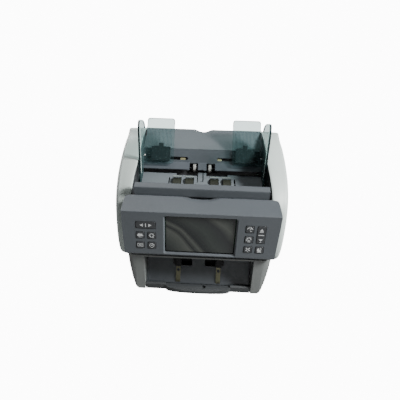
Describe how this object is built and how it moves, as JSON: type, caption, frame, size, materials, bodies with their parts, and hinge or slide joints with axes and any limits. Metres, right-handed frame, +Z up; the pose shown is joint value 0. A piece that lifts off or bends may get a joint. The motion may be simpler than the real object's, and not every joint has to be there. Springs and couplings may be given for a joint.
{
  "type": "banknote counting machine",
  "caption": "Table-top banknote counter with a top feed hopper, coupled sliding note guides, a tilting control panel with display and keys, and an open front stacker.",
  "frame": {"origin": "on the floor, under the middle of the bounding box", "axes": "+X to the user's right, +Y to the back of the machine, +Z up"},
  "size_m": [0.298, 0.2567, 0.274],
  "materials": {
    "cover_grey": "fine moulded satin, warm light grey",
    "deck_grey": "fine moulded satin, mid blue-grey",
    "panel_grey": "fine moulded satin, dark blue-grey",
    "flank_grey": "fine moulded satin, mid grey",
    "inner_black": "matte, near black",
    "key_plastic": "satin keycap",
    "guide_clear": "clear tinted acrylic, fluted",
    "screen_glass": "gloss cover glass over a dark display",
    "steel": "plated sheet and ground shafts",
    "zinc": "yellow-passivated zinc plate",
    "rubber": "ground roller rubber",
    "feed_tyre": "amber polyurethane roller tyre",
    "brass": "machined",
    "roller_white": "white acetal",
    "board_green": "solder resist"
  },
  "bodies": {
    "chassis": {"bottom_tray": "inner_black", "foot_front_left": "rubber", "foot_front_right": "rubber", "foot_rear_left": "rubber", "foot_rear_right": "rubber", "left_frame_plate": "steel", "right_frame_plate": "steel", "left_side_cover": "cover_grey", "right_side_cover": "cover_grey", "lower_front_bezel": "flank_grey", "stacker_apron": "panel_grey", "stacker_back_wall": "inner_black", "left_note_stripper": "zinc", "right_note_stripper": "zinc", "hopper_front_bar": "panel_grey", "hopper_floor": "deck_grey", "feed_throat_plate": "inner_black", "hopper_back_plate": "panel_grey", "top_cover": "deck_grey", "rear_sill": "inner_black", "power_inlet": "inner_black", "main_motor": "steel", "main_board": "board_green", "power_supply": "steel", "sensor_bar": "inner_black", "drive_belt": "rubber"},
    "control_panel": {"panel_housing": "panel_grey", "panel_back_shell": "inner_black", "display_module": "inner_black", "display_glass": "screen_glass", "keypad_board": "board_green"},
    "rear_door": {"rear_door": "deck_grey"},
    "power_switch": {"power_switch": "inner_black"},
    "feed_gap_knob": {"feed_gap_knob": "inner_black"},
    "left_guide": {"left_guide": "guide_clear", "left_guide_slider": "inner_black"},
    "right_guide": {"right_guide": "guide_clear", "right_guide_slider": "inner_black"},
    "guide_pinion": {"guide_pinion": "brass"},
    "feed_drive": {"feed_shaft": "steel", "feed_roller": "feed_tyre", "feed_pulley": "roller_white"},
    "pickup_drive": {"pickup_shaft": "steel", "pickup_roller": "feed_tyre"},
    "transport_roller": {"transport_roller": "rubber"},
    "stacker_drive": {"stacker_shaft": "steel", "left_stacker_wheel": "inner_black", "right_stacker_wheel": "inner_black"},
    "motor_pulley": {"motor_pulley": "steel"},
    "gate_roller": {"gate_roller": "roller_white"},
    "rocker_left_right": {"rocker_left_right": "key_plastic"},
    "rocker_up_down": {"rocker_up_down": "key_plastic"},
    "key_note_tray": {"key_note_tray": "key_plastic"},
    "key_cycle": {"key_cycle": "key_plastic"},
    "key_batch": {"key_batch": "key_plastic"},
    "key_dial": {"key_dial": "key_plastic"},
    "key_gauge": {"key_gauge": "key_plastic"},
    "key_return": {"key_return": "key_plastic"},
    "key_cancel": {"key_cancel": "key_plastic"},
    "key_start": {"key_start": "key_plastic"}
  },
  "joints": [
    {"name": "panel_tilt", "type": "hinge", "parent": "chassis", "child": "control_panel", "pos_m": [0, -0.1185, 0.0895], "axis": [1, 0, 0], "range_deg": [0, 50]},
    {"name": "rear_door_hinge", "type": "hinge", "parent": "chassis", "child": "rear_door", "pos_m": [0, 0.1214, 0.0245], "axis": [-1, 0, 0], "range_deg": [0, 95]},
    {"name": "power_switch_rock", "type": "hinge", "parent": "chassis", "child": "power_switch", "pos_m": [-0.0534, 0.118, 0.047], "axis": [1, 0, 0], "range_deg": [0, 14]},
    {"name": "feed_gap_turn", "type": "hinge", "parent": "chassis", "child": "feed_gap_knob", "pos_m": [0.084, 0.124, 0.19], "axis": [0, 1, 0], "range_deg": [-150, 150]},
    {"name": "left_guide_slide", "type": "slide", "parent": "chassis", "child": "left_guide", "axis": [1, 0, 0], "range_m": [0, 0.045]},
    {"name": "right_guide_slide", "type": "slide", "parent": "chassis", "child": "right_guide", "axis": [-1, 0, 0], "range_m": [0, 0.045]},
    {"name": "guide_pinion_spin", "type": "hinge", "parent": "chassis", "child": "guide_pinion", "pos_m": [0, 0.06129, 0.18556], "axis": [0, -0.8241, 0.5664], "range_deg": [-370, 0]},
    {"name": "feed_spin", "type": "hinge", "parent": "chassis", "child": "feed_drive", "pos_m": [0, -0.044, 0.126], "axis": [1, 0, 0], "continuous": true},
    {"name": "motor_spin", "type": "hinge", "parent": "chassis", "child": "motor_pulley", "pos_m": [0.106, 0.062, 0.096], "axis": [1, 0, 0], "continuous": true},
    {"name": "pickup_spin", "type": "hinge", "parent": "chassis", "child": "pickup_drive", "pos_m": [0, 0.009, 0.1445], "axis": [1, 0, 0], "continuous": true},
    {"name": "transport_spin", "type": "hinge", "parent": "chassis", "child": "transport_roller", "pos_m": [0, -0.03, 0.09], "axis": [1, 0, 0], "continuous": true},
    {"name": "stacker_spin", "type": "hinge", "parent": "chassis", "child": "stacker_drive", "pos_m": [0, -0.061, 0.056], "axis": [1, 0, 0], "continuous": true},
    {"name": "gate_roller_spin", "type": "hinge", "parent": "chassis", "child": "gate_roller", "pos_m": [0, 0.04845, 0.16599], "axis": [1, 0, 0], "continuous": true},
    {"name": "rocker_left_right_tilt", "type": "hinge", "parent": "control_panel", "child": "rocker_left_right", "pos_m": [-0.0876, -0.119, 0.1472], "axis": [0, 0, 1], "range_deg": [-2.4, 2.4], "stiffness_Nm_per_rad": 0.06},
    {"name": "rocker_up_down_tilt", "type": "hinge", "parent": "control_panel", "child": "rocker_up_down", "pos_m": [0.097, -0.119, 0.1373], "axis": [1, 0, 0], "range_deg": [-2.4, 2.4], "stiffness_Nm_per_rad": 0.06},
    {"name": "key_note_tray_press", "type": "slide", "parent": "control_panel", "child": "key_note_tray", "axis": [0, 1, 0], "range_m": [0, 0.0012], "stiffness_N_per_m": 400, "springref_m": -0.0008},
    {"name": "key_cycle_press", "type": "slide", "parent": "control_panel", "child": "key_cycle", "axis": [0, 1, 0], "range_m": [0, 0.0012], "stiffness_N_per_m": 400, "springref_m": -0.0008},
    {"name": "key_batch_press", "type": "slide", "parent": "control_panel", "child": "key_batch", "axis": [0, 1, 0], "range_m": [0, 0.0012], "stiffness_N_per_m": 400, "springref_m": -0.0008},
    {"name": "key_dial_press", "type": "slide", "parent": "control_panel", "child": "key_dial", "axis": [0, 1, 0], "range_m": [0, 0.0012], "stiffness_N_per_m": 400, "springref_m": -0.0008},
    {"name": "key_gauge_press", "type": "slide", "parent": "control_panel", "child": "key_gauge", "axis": [0, 1, 0], "range_m": [0, 0.0012], "stiffness_N_per_m": 400, "springref_m": -0.0008},
    {"name": "key_return_press", "type": "slide", "parent": "control_panel", "child": "key_return", "axis": [0, 1, 0], "range_m": [0, 0.0012], "stiffness_N_per_m": 400, "springref_m": -0.0008},
    {"name": "key_cancel_press", "type": "slide", "parent": "control_panel", "child": "key_cancel", "axis": [0, 1, 0], "range_m": [0, 0.0012], "stiffness_N_per_m": 400, "springref_m": -0.0008},
    {"name": "key_start_press", "type": "slide", "parent": "control_panel", "child": "key_start", "axis": [0, 1, 0], "range_m": [0, 0.0012], "stiffness_N_per_m": 400, "springref_m": -0.0008}
  ],
  "couplings": [
    {"joint": "right_guide_slide", "follows": "left_guide_slide", "ratio": 1},
    {"joint": "guide_pinion_spin", "follows": "left_guide_slide", "rad_per_m": -142.86},
    {"joint": "motor_spin", "follows": "feed_spin", "ratio": 1.8},
    {"joint": "pickup_spin", "follows": "feed_spin", "ratio": 1},
    {"joint": "transport_spin", "follows": "feed_spin", "ratio": 1.6},
    {"joint": "stacker_spin", "follows": "feed_spin", "ratio": 0.25}
  ]
}
